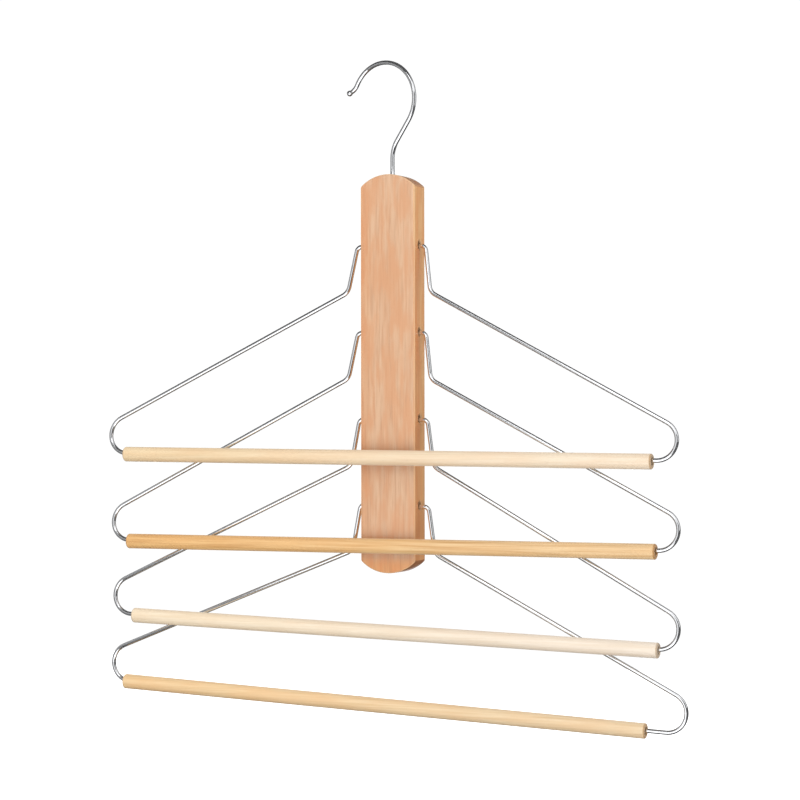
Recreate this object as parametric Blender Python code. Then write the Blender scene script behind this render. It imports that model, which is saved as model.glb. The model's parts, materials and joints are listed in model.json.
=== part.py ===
"""Multi tier trouser hanger.

A hardwood spine hangs from a swivelling wire hook. Four wire arms turn in cross holes through
the spine, one below the other, and each holds a wooden bar by its two inturned ends. Every bar
hangs in front of the wires of the arm below it.

Metres, +Z up. The origin is the inner top of the hook, where it sits on a rail. The spine's
front faces -Y and the hook opens towards -X.
"""

import math
from collections import namedtuple

import bmesh
import bpy
from mathutils import Matrix, Vector

# Clearances
GAP = 0.0003
REST_GAP = 0.0008
OVERRUN = 0.002

# Spine
SPINE_WIDTH = 0.038
SPINE_THICKNESS = 0.018
SPINE_HEIGHT = 0.259
ARCH_RISE = 0.0078
SPINE_CORNER_RADIUS = 0.002
SPINE_EDGE_RADIUS = 0.0010

# Cross holes, spread evenly between the first and the last
FIRST_HOLE_DEPTH = 0.0458
LAST_HOLE_RISE = 0.0441
HOLE_RADIUS = 0.0027
HOLE_MOUTH_FLARE = 0.0006

# Hook: a straight shank, a slanted neck, a round crook and a wide outward curl with a ball end,
# turned about its shank as it happens to hang
HOOK_WIRE_RADIUS = 0.0015
SHANK_RISE = 0.0108
HOOK_NECK_BEND_RADIUS = 0.0196
HOOK_SLANT = math.radians(35.8)
CROOK_RADIUS = 0.0245
CROOK_OFFSET = 0.0070
CROOK_END = math.radians(152.4)
CURL_RADIUS = 0.0098
CURL_TURN = math.radians(40.3)
BALL_RADIUS = 0.002
HOOK_TURN = math.radians(-13.4)

# Swivel: a bush pressed into the spine holds the headed end of the shank
BUSH_RADIUS = 0.0032
BUSH_LENGTH = 0.022
BUSH_SETBACK = 0.0010
BUSH_CHAMFER = 0.0004
HEAD_RADIUS = 0.0027
HEAD_THICKNESS = 0.002
HEAD_TAPER = 0.0005
HEAD_SPARE_DEPTH = 0.002

# Arm wire
ARM_WIRE_RADIUS = 0.0015
NECK_STANDOFF = 0.0050
NECK_DROP = 0.0303
NECK_SPLAY = math.radians(9.4)
NECK_BEND_RADIUS = 0.00375
SHOULDER_BEND_RADIUS = 0.008
END_BEND_RADIUS = 0.0126
TIP_LENGTH = 0.035
TIP_TAPER = 0.0006

# Bar
BAR_LENGTH = 0.370
BAR_RADIUS = 0.005
BAR_DROP = 0.1393
BAR_END_PLAY = 0.0003
BAR_EDGE_RADIUS = 0.0010
BORE_PLAY = 0.0010
BORE_SPARE_DEPTH = 0.005
BORE_MOUTH_FLARE = 0.0004

# How each arm lies at rest: the tilt of its wire in the hole, right side down, how far each leg
# is bent open (or in, if negative), and how far the wire and the bar have slid to the right, as
# shares of their play
Rest = namedtuple("Rest", "tilt left_spread right_spread wire_slide_share bar_slide_share")
RESTS = [
    Rest(math.radians(0.61), math.radians(0.10), math.radians(0.54), -0.45, -0.28),
    Rest(math.radians(0.78), math.radians(-0.82), math.radians(0.96), -0.34, -0.16),
    Rest(math.radians(0.37), math.radians(2.11), math.radians(-1.31), 0.21, 0.20),
    Rest(math.radians(1.19), math.radians(4.67), math.radians(1.10), 0.59, -0.77),
]

# Counts
WIRE_BEVEL_RESOLUTION = 4
ARCH_STEPS = 14
CORNER_STEPS = 4
EDGE_STEPS = 3
BEND_STEPS = 5
END_BEND_STEPS = 10
CROOK_STEPS = 26
BALL_STEPS = 6
HOLE_SIDES = 24
BAR_SIDES = 24

# Derived sizes
HALF_WIDTH = SPINE_WIDTH / 2
HALF_THICKNESS = SPINE_THICKNESS / 2
HOLE_PITCH = (SPINE_HEIGHT - FIRST_HOLE_DEPTH - LAST_HOLE_RISE) / (len(RESTS) - 1)
SWIVEL_BORE_RADIUS = BUSH_RADIUS + GAP
BUSH_BORE_RADIUS = HOOK_WIRE_RADIUS + GAP
HEAD_TOP_DEPTH = BUSH_SETBACK + BUSH_LENGTH + GAP
SHANK_DEPTH = HEAD_TOP_DEPTH + HEAD_THICKNESS
SWIVEL_BORE_DEPTH = SHANK_DEPTH + HEAD_SPARE_DEPTH
NECK_REACH = HALF_WIDTH + NECK_STANDOFF
SHOULDER_REACH = NECK_REACH + NECK_DROP * math.tan(NECK_SPLAY)
END_CENTRE_REACH = BAR_LENGTH / 2 + BAR_END_PLAY
BAR_HANG = BORE_PLAY - GAP
END_CENTRE_DROP = BAR_DROP - BAR_HANG - END_BEND_RADIUS
BAR_BORE_RADIUS = ARM_WIRE_RADIUS + BORE_PLAY
BAR_BORE_DEPTH = TIP_LENGTH + BORE_SPARE_DEPTH

# The crook's height follows from the shank's rise and the slant of the neck
NECK_CORNER_RISE = SHANK_RISE + HOOK_NECK_BEND_RADIUS * math.tan(HOOK_SLANT / 2)
CROOK_START_REACH = CROOK_RADIUS * math.cos(HOOK_SLANT) - CROOK_OFFSET
CROOK_START_RISE = NECK_CORNER_RISE + CROOK_START_REACH / math.tan(HOOK_SLANT)
CROOK_RISE = CROOK_START_RISE + CROOK_RADIUS * math.sin(HOOK_SLANT)
SPINE_TOP = Vector((
    CROOK_OFFSET * math.cos(HOOK_TURN),
    CROOK_OFFSET * math.sin(HOOK_TURN),
    HOOK_WIRE_RADIUS - CROOK_RADIUS - CROOK_RISE,
))


def clear_scene():
    """Removes every object that the file starts with."""
    for obj in list(bpy.data.objects):
        bpy.data.objects.remove(obj, do_unlink=True)


def material(name, colour, roughness, metallic=0.0):
    """A Principled material with one colour."""
    made = bpy.data.materials.new(name)
    made.use_nodes = True
    shader = made.node_tree.nodes["Principled BSDF"]
    shader.inputs["Base Color"].default_value = (*colour, 1.0)
    shader.inputs["Roughness"].default_value = roughness
    shader.inputs["Metallic"].default_value = metallic
    return made


def place(name, data, finish=None, parent=None):
    """Links a new object for this mesh or curve, or an empty if there is none."""
    obj = bpy.data.objects.new(name, data)
    bpy.context.scene.collection.objects.link(obj)
    if finish:
        data.materials.append(finish)
    obj.parent = parent
    return obj


def arc(centre, radius, start, end, steps):
    """Points on an arc in the plane, from one angle to another."""
    points = []
    for step in range(steps + 1):
        angle = start + (end - start) * step / steps
        points.append(centre + radius * Vector((math.cos(angle), math.sin(angle))))
    return points


def fillet(before, corner, after, radius, steps):
    """The arc that rounds a corner of a path in the plane."""
    back = (before - corner).normalized()
    ahead = (after - corner).normalized()
    half = back.angle(ahead) / 2
    centre = corner + (back + ahead).normalized() * radius / math.sin(half)
    first = corner + back * radius / math.tan(half) - centre
    last = corner + ahead * radius / math.tan(half) - centre
    start = math.atan2(first.y, first.x)
    turn = math.pi - 2 * half
    if first.cross(last) < 0:
        turn = -turn
    return arc(centre, radius, start, start + turn, steps)


def finish_mesh(name, bm, sharp=math.radians(35)):
    """Turns a bmesh into a mesh with outward faces, smooth but for its sharp edges."""
    bmesh.ops.recalc_face_normals(bm, faces=bm.faces)
    mesh = bpy.data.meshes.new(name)
    bm.to_mesh(mesh)
    bm.free()
    mesh.shade_smooth()
    mesh.set_sharp_from_angle(angle=sharp)
    return mesh


def bridge_rings(bm, ring, next_ring):
    """Joins two rings of vertices with faces. A ring of one vertex is a point on the axis."""
    sides = max(len(ring), len(next_ring))
    for side in range(sides):
        corners = []
        for vertex in (
            ring[side % len(ring)],
            ring[(side + 1) % len(ring)],
            next_ring[(side + 1) % len(next_ring)],
            next_ring[side % len(next_ring)],
        ):
            if vertex not in corners:
                corners.append(vertex)
        bm.faces.new(corners)


def turned_mesh(name, profile, sides, closed=False):
    """A solid turned about local X from (along, radius) points, closed on the axis or on itself."""
    bm = bmesh.new()
    rings = []
    for along, radius in profile:
        count = sides if radius > 0 else 1
        ring = []
        for side in range(count):
            angle = 2 * math.pi * side / count
            ring.append(bm.verts.new((along, radius * math.cos(angle), radius * math.sin(angle))))
        rings.append(ring)
    following = rings[1:] + rings[:1] if closed else rings[1:]
    for ring, next_ring in zip(rings, following):
        bridge_rings(bm, ring, next_ring)
    return finish_mesh(name, bm)


def wire(name, points, radii, finish, parent=None):
    """A round wire along points in the XZ plane, with a radius at each point."""
    curve = bpy.data.curves.new(name, "CURVE")
    curve.dimensions = "3D"
    curve.bevel_depth = ARM_WIRE_RADIUS
    curve.bevel_resolution = WIRE_BEVEL_RESOLUTION
    curve.use_fill_caps = True
    spline = curve.splines.new("POLY")
    spline.points.add(len(points) - 1)
    for target, point, radius in zip(spline.points, points, radii):
        target.co = (point.x, 0.0, point.y, 1.0)
        target.radius = radius / curve.bevel_depth
    return place(name, curve, finish, parent)


def cut(obj, cutter):
    """Cuts one object with another, which is hidden."""
    cutter.hide_render = True
    cutter.display_type = "WIRE"
    boolean = obj.modifiers.new(cutter.name, "BOOLEAN")
    boolean.operation = "DIFFERENCE"
    boolean.solver = "EXACT"
    boolean.object = cutter


def arched_end():
    """The spine's outline at an arched end, from side to side, apex at zero."""
    radius = (HALF_WIDTH**2 + ARCH_RISE**2) / (2 * ARCH_RISE)
    corner = min(SPINE_CORNER_RADIUS, HALF_WIDTH)
    centre = Vector((0.0, -radius))
    reach = HALF_WIDTH - corner
    corner_centre = centre + Vector((reach, math.sqrt((radius - corner) ** 2 - reach**2)))
    meeting = math.atan2(corner_centre.y - centre.y, reach)
    right = arc(corner_centre, corner, 0.0, meeting, CORNER_STEPS)
    crown = arc(centre, radius, meeting, math.pi - meeting, ARCH_STEPS)
    left = [Vector((-point.x, point.y)) for point in reversed(right)]
    return right + crown[1:-1] + left


def make_spine(finish):
    """The upright board, with arched ends, eased edges, four cross holes and the swivel's bore."""
    outline = arched_end()
    for point in arched_end():
        outline.append(Vector((-point.x, -SPINE_HEIGHT - point.y)))
    bm = bmesh.new()
    front = []
    for point in outline:
        front.append(bm.verts.new((point.x, -HALF_THICKNESS, point.y)))
    face = bm.faces.new(front)
    swept = bmesh.ops.extrude_face_region(bm, geom=[face])["geom"]
    back = [item for item in swept if isinstance(item, bmesh.types.BMVert)]
    bmesh.ops.translate(bm, verts=back, vec=(0.0, SPINE_THICKNESS, 0.0))
    rims = [edge for edge in bm.edges if edge.verts[0].co.y == edge.verts[1].co.y]
    bmesh.ops.bevel(bm, geom=rims, offset=SPINE_EDGE_RADIUS, segments=EDGE_STEPS, affect="EDGES", profile=0.5)
    spine = place("spine", finish_mesh("spine", bm), finish)
    spine.location = SPINE_TOP
    for tier in range(len(RESTS)):
        cut(spine, cross_hole_cutter(spine, tier))
    cut(spine, swivel_bore_cutter(spine))
    return spine


def hole_depth(tier):
    """How far a tier's cross hole lies below the spine's top."""
    return FIRST_HOLE_DEPTH + tier * HOLE_PITCH


def cross_hole_cutter(spine, tier):
    """A round bar through the spine's width that flares at both mouths."""
    end = HALF_WIDTH + OVERRUN
    flared = HOLE_RADIUS + HOLE_MOUTH_FLARE + OVERRUN
    throat = HALF_WIDTH - HOLE_MOUTH_FLARE
    profile = [(-end, 0.0), (-end, flared), (-throat, HOLE_RADIUS), (throat, HOLE_RADIUS), (end, flared), (end, 0.0)]
    name = f"cross_hole_cutter_{tier + 1}"
    cutter = place(name, turned_mesh(name, profile, HOLE_SIDES), parent=spine)
    cutter.location = (0.0, 0.0, -hole_depth(tier))
    return cutter


def swivel_bore_cutter(spine):
    """A round bar down the spine's top, where the bush is pressed in."""
    profile = [
        (-SWIVEL_BORE_DEPTH, 0.0),
        (-SWIVEL_BORE_DEPTH, SWIVEL_BORE_RADIUS),
        (OVERRUN, SWIVEL_BORE_RADIUS),
        (OVERRUN, 0.0),
    ]
    cutter = place("swivel_bore_cutter", turned_mesh("swivel_bore_cutter", profile, HOLE_SIDES), parent=spine)
    cutter.rotation_euler = (0.0, -math.pi / 2, 0.0)
    return cutter


def make_hook_bush(finish, spine):
    """The sleeve that the hook's shank turns in."""
    top = -BUSH_SETBACK
    bottom = top - BUSH_LENGTH
    profile = [
        (bottom, BUSH_BORE_RADIUS),
        (top - BUSH_CHAMFER, BUSH_BORE_RADIUS),
        (top, BUSH_BORE_RADIUS + BUSH_CHAMFER),
        (top, BUSH_RADIUS - BUSH_CHAMFER),
        (top - BUSH_CHAMFER, BUSH_RADIUS),
        (bottom, BUSH_RADIUS),
    ]
    bush = place("hook_bush", turned_mesh("hook_bush", profile, HOLE_SIDES, closed=True), finish, spine)
    bush.rotation_euler = (0.0, -math.pi / 2, 0.0)
    return bush


def make_hook(finish):
    """The hook: headed shank, slanted neck, crook, outward curl and ball, as one bent wire."""
    head_top = -HEAD_TOP_DEPTH
    points = [
        Vector((0.0, -SHANK_DEPTH)),
        Vector((0.0, HEAD_TAPER - SHANK_DEPTH)),
        Vector((0.0, head_top - HEAD_TAPER)),
        Vector((0.0, head_top)),
    ]
    radii = [HEAD_RADIUS - HEAD_TAPER, HEAD_RADIUS, HEAD_RADIUS, HOOK_WIRE_RADIUS]

    corner = Vector((0.0, NECK_CORNER_RISE))
    crook_start = Vector((CROOK_START_REACH, CROOK_START_RISE))
    neck = fillet(points[0], corner, crook_start, HOOK_NECK_BEND_RADIUS, BEND_STEPS)
    centre = Vector((-CROOK_OFFSET, CROOK_RISE))
    crook = arc(centre, CROOK_RADIUS, -HOOK_SLANT, CROOK_END, CROOK_STEPS)
    outward = Vector((math.cos(CROOK_END), math.sin(CROOK_END)))
    curl_centre = crook[-1] + CURL_RADIUS * outward
    curl_start = CROOK_END - math.pi
    curl = arc(curl_centre, CURL_RADIUS, curl_start, curl_start - CURL_TURN, BEND_STEPS)
    bent = neck + crook + curl[1:]
    points += bent
    radii += [HOOK_WIRE_RADIUS] * len(bent)

    heading = (curl[-1] - curl[-2]).normalized()
    joint = math.acos(HOOK_WIRE_RADIUS / BALL_RADIUS)
    ball_centre = curl[-1] + heading * BALL_RADIUS * math.sin(joint)
    last = math.pi / 2 * (1 - 1 / BALL_STEPS / 2)
    for step in range(1, BALL_STEPS + 1):
        latitude = -joint + (last + joint) * step / BALL_STEPS
        points.append(ball_centre + heading * BALL_RADIUS * math.sin(latitude))
        radii.append(BALL_RADIUS * math.cos(latitude))

    hook = wire("hook", points, radii, finish)
    hook.location = SPINE_TOP
    hook.rotation_euler = (0.0, 0.0, HOOK_TURN)
    return hook


def end_bend_centre(spread):
    """The centre of a leg's end bend, outward and up from the pivot, with the leg sprung open."""
    shoulder = Vector((SHOULDER_REACH, -NECK_DROP))
    centre = Vector((END_CENTRE_REACH, -END_CENTRE_DROP)) - shoulder
    centre.rotate(Matrix.Rotation(spread, 2))
    return shoulder + centre


def leg_points(spread, inward):
    """One leg of an arm, outward and up from the pivot: neck, shoulder, end bend and tip."""
    pivot = Vector((0.0, 0.0))
    neck = Vector((NECK_REACH, 0.0))
    shoulder = Vector((SHOULDER_REACH, -NECK_DROP))
    centre = end_bend_centre(spread)
    away = centre - shoulder
    slope = math.atan2(-away.y, away.x) - math.asin(END_BEND_RADIUS / away.length)
    start = math.pi / 2 - slope
    end = math.atan2(inward.x, -inward.y)
    bend = arc(centre, END_BEND_RADIUS, start, end, END_BEND_STEPS)
    points = fillet(pivot, neck, shoulder, NECK_BEND_RADIUS, BEND_STEPS)
    points += fillet(neck, shoulder, bend[0], SHOULDER_BEND_RADIUS, BEND_STEPS)
    points += bend
    points.append(bend[-1] + inward * (TIP_LENGTH - TIP_TAPER))
    points.append(bend[-1] + inward * TIP_LENGTH)
    return points


def bar_line(rest):
    """The middle and the direction of the two tips' axis in their arm's plane, and the length
    between its end bends."""
    left = end_bend_centre(rest.left_spread)
    left.x = -left.x
    right = end_bend_centre(rest.right_spread)
    along = (right - left).normalized()
    down = Vector((along.y, -along.x))
    middle = (left + right) / 2 + END_BEND_RADIUS * down
    return middle, along, (right - left).length


def rest_swings():
    """How far each arm leans forward at rest, because its bar lies on the spine or on the wires
    of the arm below."""
    swings = []
    for tier in reversed(range(len(RESTS))):
        reach = 0.0
        if swings:
            wire_depth = BAR_DROP - HOLE_PITCH
            wire_front = wire_depth * math.tan(swings[0]) + ARM_WIRE_RADIUS
            reach = wire_front + BAR_RADIUS + REST_GAP
        if hole_depth(tier) + BAR_DROP - BAR_RADIUS < SPINE_HEIGHT:
            reach = max(reach, HALF_THICKNESS + BAR_RADIUS + REST_GAP)
        swings.insert(0, math.asin(reach / BAR_DROP))
    return swings


def make_arm_pivot(tier, rest, swing):
    """An empty on the arm's joint axis, low in its cross hole, turned as the arm hangs."""
    rise_at_mouth = HALF_WIDTH * math.sin(abs(rest.tilt))
    drop = HOLE_RADIUS - ARM_WIRE_RADIUS - GAP - rise_at_mouth
    pivot = place(f"arm_{tier + 1}_pivot", None)
    pivot.location = SPINE_TOP - Vector((0.0, 0.0, hole_depth(tier) + drop))
    pivot.rotation_euler = (-swing, rest.tilt, 0.0)
    return pivot


def wire_slide(rest):
    """How far an arm's wire has slid to the right through its hole."""
    bend_share = math.tan((math.pi / 2 - NECK_SPLAY) / 2)
    return rest.wire_slide_share * (NECK_STANDOFF - NECK_BEND_RADIUS * bend_share)


def make_arm_wire(tier, rest, pivot, finish):
    """One arm: a wire through the spine with two legs that turn in towards each other."""
    _, along, _ = bar_line(rest)
    right = leg_points(rest.right_spread, -along)
    left = leg_points(rest.left_spread, Vector((-along.x, along.y)))
    points = [Vector((-point.x, point.y)) for point in reversed(left)] + right
    radii = [ARM_WIRE_RADIUS] * len(points)
    radii[0] = radii[-1] = ARM_WIRE_RADIUS - TIP_TAPER
    arm = wire(f"arm_wire_{tier + 1}", points, radii, finish, pivot)
    arm.location = (wire_slide(rest), 0.0, 0.0)
    return arm


def bar_profile():
    """Half of a bar's profile, from the bottom of its left bore to its outer face."""
    end = -BAR_LENGTH / 2
    edge_centre = Vector((end + BAR_EDGE_RADIUS, BAR_RADIUS - BAR_EDGE_RADIUS))
    edge = arc(edge_centre, BAR_EDGE_RADIUS, math.pi, math.pi / 2, EDGE_STEPS)
    profile = [
        (end + BAR_BORE_DEPTH, 0.0),
        (end + BAR_BORE_DEPTH, BAR_BORE_RADIUS),
        (end + BORE_MOUTH_FLARE, BAR_BORE_RADIUS),
        (end, BAR_BORE_RADIUS + BORE_MOUTH_FLARE),
    ]
    return profile + [(point.x, point.y) for point in edge]


def make_bar(tier, rest, pivot, finish):
    """One bar, which hangs on its arm's two tips. A slid bar rides up a little on the end bend."""
    middle, along, free_length = bar_line(rest)
    highest = 2 * max(BAR_HANG, 0.0)
    ride = math.sqrt(highest * (2 * END_BEND_RADIUS - highest))
    spare = (free_length - BAR_LENGTH) / 2
    slide = rest.bar_slide_share * (spare + ride)
    over = max(abs(slide) - spare, 0.0)
    lift = END_BEND_RADIUS - math.sqrt(END_BEND_RADIUS**2 - over**2)
    down = Vector((along.y, -along.x))
    centre = middle + along * slide + down * (BAR_HANG - lift)
    half = bar_profile()
    profile = half + [(-along_x, radius) for along_x, radius in reversed(half)]
    name = f"bar_{tier + 1}"
    bar = place(name, turned_mesh(name, profile, BAR_SIDES), finish, pivot)
    bar.location = (centre.x + wire_slide(rest), 0.0, centre.y)
    bar.rotation_euler = (0.0, -math.atan2(along.y, along.x), 0.0)
    return bar


def main():
    """Builds the hanger as it hangs in use."""
    clear_scene()
    beech = material("beech", (0.78, 0.50, 0.30), 0.4)
    pale_beech = material("pale_beech", (0.86, 0.72, 0.48), 0.45)
    nylon = material("nylon", (0.80, 0.78, 0.70), 0.5)
    chrome = material("chrome_wire", (0.78, 0.79, 0.80), 0.12, 1.0)
    make_hook(chrome)
    spine = make_spine(beech)
    make_hook_bush(nylon, spine)
    swings = rest_swings()
    for tier, (rest, swing) in enumerate(zip(RESTS, swings)):
        pivot = make_arm_pivot(tier, rest, swing)
        make_arm_wire(tier, rest, pivot, chrome)
        make_bar(tier, rest, pivot, pale_beech)


main()
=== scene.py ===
"""Looks of the multi tier trouser hanger: lacquered beech spine, pale dowel bars, bright wires.

Metres, +Z up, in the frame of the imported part: the origin is the inner top of the hook's crook,
the spine hangs below it and its front faces -Y.
"""

import json
import logging
import math
from dataclasses import dataclass
from enum import Enum

import bmesh
import bpy
from bpy.types import Material, Mesh, Node, NodeTree, Object
from bpy.types import NodeSocket as Socket
from mathutils import Matrix, Vector


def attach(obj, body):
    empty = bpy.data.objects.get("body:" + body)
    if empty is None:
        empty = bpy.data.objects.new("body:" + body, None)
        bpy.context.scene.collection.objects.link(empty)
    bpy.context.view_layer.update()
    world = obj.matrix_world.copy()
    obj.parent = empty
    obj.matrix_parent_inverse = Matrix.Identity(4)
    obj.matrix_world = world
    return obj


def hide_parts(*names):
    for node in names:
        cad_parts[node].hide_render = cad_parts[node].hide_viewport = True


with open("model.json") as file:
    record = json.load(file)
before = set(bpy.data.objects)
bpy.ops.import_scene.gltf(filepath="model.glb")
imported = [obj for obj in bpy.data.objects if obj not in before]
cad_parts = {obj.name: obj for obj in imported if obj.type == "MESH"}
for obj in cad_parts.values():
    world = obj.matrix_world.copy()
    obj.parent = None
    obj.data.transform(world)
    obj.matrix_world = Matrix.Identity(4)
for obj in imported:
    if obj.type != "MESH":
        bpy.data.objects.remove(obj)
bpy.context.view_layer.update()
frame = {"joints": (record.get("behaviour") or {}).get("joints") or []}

Colour = tuple[float, float, float]
Place = tuple[float, float, float]

log = logging.getLogger("hanger")

SHARP_ANGLE = math.radians(32)
BORE_SIDES = 48
WHITE = (1.0, 1.0, 1.0, 1.0)
UP = Vector((0.0, 0.0, 1.0))
UPRIGHT = Matrix.Rotation(-math.pi / 2, 4, "Y")


class Axis(Enum):
    """The way the grain runs in a piece of wood, as the turn that stands it upright."""

    UP = (0.0, 0.0, 0.0)
    ACROSS = (0.0, -math.pi / 2, 0.0)


@dataclass(frozen=True)
class WoodTone:
    """The colours and figure of one piece of beech."""

    name: str
    pale: Colour
    deep: Colour
    flush: Colour
    grain: Axis = Axis.UP
    ring_spacing: float = 0.0032
    ring_strength: float = 0.25
    streak_strength: float = 0.55
    streak_reach: float = 0.02
    flush_scale: float = 150.0
    flush_strength: float = 0.5
    fleck_strength: float = 0.2
    pith: Place = (0.031, 0.055, 0.0)
    roughness: float = 0.45
    lacquer: float = 0.0
    fuzz: float = 0.0
    # How much paler a bar is at its right end than at its left.
    right_end_tint: Colour = (1.0, 1.0, 1.0)

    def figure_inputs(self) -> dict[str, object]:
        """The values that the beech figure takes, by the names of its inputs."""
        colours = {name: (*getattr(self, name.lower()), 1.0) for name in WoodFigure.COLOURS}
        return colours | {name: getattr(self, name.lower().replace(" ", "_")) for name in WoodFigure.SIZES}


@dataclass(frozen=True)
class DowelTone(WoodTone):
    """The tone of a bar: its grain runs across, and it is sanded but not lacquered."""

    grain: Axis = Axis.ACROSS
    fuzz: float = 0.25


@dataclass(frozen=True)
class Bend:
    """A corner of a wire's path in its plane, and the radius that rounds it."""

    across: float
    up: float
    radius: float = 0.0
    thickness: float = 1.0


def wire_plane(origin: Vector, right: Vector, up: Vector) -> Matrix:
    """The turn and shift that takes places in a wire's plane, as (right, 0, up), to the frame's."""
    turn = Matrix((right, up.cross(right), up)).transposed().to_4x4()
    return Matrix.Translation(origin) @ turn


def joint(name: str) -> tuple[Vector, Vector]:
    """The place and the axis of a joint of the frame."""
    entry = next(entry for entry in frame["joints"] if entry["name"] == name)
    return Vector(entry["pos_m"]), Vector(entry["axis"]).normalized()


def add_object(name: str, data: bpy.types.ID) -> Object:
    """Links a new object at the origin.

    Args:
        name: the object's name.
        data: its mesh, light or camera.

    Returns:
        The new object.
    """
    obj = bpy.data.objects.new(name, data)
    bpy.context.scene.collection.objects.link(obj)
    return obj


def settle(name: str, holder: Object, *helpers: Object) -> Mesh:
    """Turns an object with modifiers into a plain mesh, and removes what made it.

    Args:
        name: the mesh's name.
        holder: the object.
        helpers: what its modifiers use.

    Returns:
        The mesh.
    """
    bpy.context.view_layer.update()
    mesh = bpy.data.meshes.new_from_object(holder.evaluated_get(bpy.context.evaluated_depsgraph_get()))
    holder.modifiers.clear()
    for spare in [holder, *helpers]:
        data = spare.data
        bpy.data.objects.remove(spare)
        bpy.data.meshes.remove(data)
    mesh.name = name
    return mesh


def smooth(mesh: Mesh) -> None:
    """Shades a mesh smooth but for its sharp edges."""
    mesh.shade_smooth()
    mesh.set_sharp_from_angle(angle=SHARP_ANGLE)


def heading(angle: float) -> Vector:
    """The direction at an angle in a plane, in radians."""
    return Vector((math.cos(angle), math.sin(angle)))


def arc(centre: Vector, radius: float, start: float, end: float, steps: int) -> list[Vector]:
    """Points on an arc in a plane, both ends included, with its angles in radians."""
    angles = [start + (end - start) * step / steps for step in range(steps + 1)]
    return [centre + radius * heading(angle) for angle in angles]


@dataclass
class NodeCanvas:
    """Short calls for adding and joining nodes in a tree."""

    tree: NodeTree

    def feed(self, node: Node, inputs: dict) -> None:
        """Sets a node's inputs.

        Args:
            node: the node.
            inputs: values or output sockets, by the input's name or number.
        """
        for key, value in inputs.items():
            if isinstance(value, Socket):
                self.tree.links.new(value, node.inputs[key])
            else:
                node.inputs[key].default_value = value

    def add(self, kind: str, inputs: dict | None = None, **settings: object) -> Node:
        """Adds a node.

        Args:
            kind: the node's type name.
            inputs: values or output sockets, by the input's name or number.
            settings: the node's own properties.

        Returns:
            The new node.
        """
        node = self.tree.nodes.new(kind)
        for key, value in settings.items():
            setattr(node, key, value)
        self.feed(node, inputs or {})
        return node

    def math(self, operation: str, *terms: object) -> Socket:
        """Adds a Math node on values or sockets."""
        return self.add("ShaderNodeMath", dict(enumerate(terms)), operation=operation).outputs[0]

    def scaled(self, place: Socket, by: object) -> Socket:
        """Multiplies a place by three numbers or a socket, part by part."""
        return self.add("ShaderNodeVectorMath", {0: place, 1: by}, operation="MULTIPLY").outputs[0]

    def mix(self, share: object, first: object, second: object, blend: str = "MIX") -> Socket:
        """Mixes a share of the second colour into the first, on the sockets of a Mix node for colours."""
        inputs = {0: share, 6: first, 7: second}
        return self.add("ShaderNodeMix", inputs, data_type="RGBA", blend_type=blend).outputs[2]

    def span(self, value: object, low: float, high: float) -> Socket:
        """Spreads a value's range from low to high over 0 to 1, eased at both ends."""
        inputs = {0: value, 1: low, 2: high}
        return self.add("ShaderNodeMapRange", inputs, interpolation_type="SMOOTHSTEP").outputs[0]

    def noise(self, place: Socket, scale: object, detail: float) -> Socket:
        """Noise with so many cells to the metre and so many octaves."""
        inputs = {"Vector": place, "Scale": scale, "Detail": detail}
        return self.add("ShaderNodeTexNoise", inputs).outputs["Fac"]

    def own_place(self) -> Socket:
        """The coordinates of the piece's own object."""
        return self.add("ShaderNodeTexCoord").outputs["Object"]

    def attribute(self, name: str) -> Socket:
        """The value of one of the mesh's attributes."""
        return self.add("ShaderNodeAttribute", attribute_name=name).outputs["Fac"]


def new_tree(name: str, kind: str, inputs: dict[str, str], outputs: dict[str, str]) -> NodeTree:
    """Makes a node group that holds no nodes yet.

    Args:
        name: the group's name.
        kind: its type of tree.
        inputs: the type of each input, by its name.
        outputs: the type of each output, by its name.

    Returns:
        The group.
    """
    tree = bpy.data.node_groups.new(name, kind)
    for side, sockets in (("INPUT", inputs), ("OUTPUT", outputs)):
        for label, socket in sockets.items():
            tree.interface.new_socket(label, in_out=side, socket_type="NodeSocket" + socket)
    return tree


def new_material(name: str) -> tuple[Material, NodeCanvas, Node]:
    """Makes a material.

    Args:
        name: its name.

    Returns:
        The material, a canvas on its tree, and its Principled shader.
    """
    made = bpy.data.materials.new(name)
    made.use_nodes = True
    return made, NodeCanvas(made.node_tree), made.node_tree.nodes["Principled BSDF"]


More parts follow.
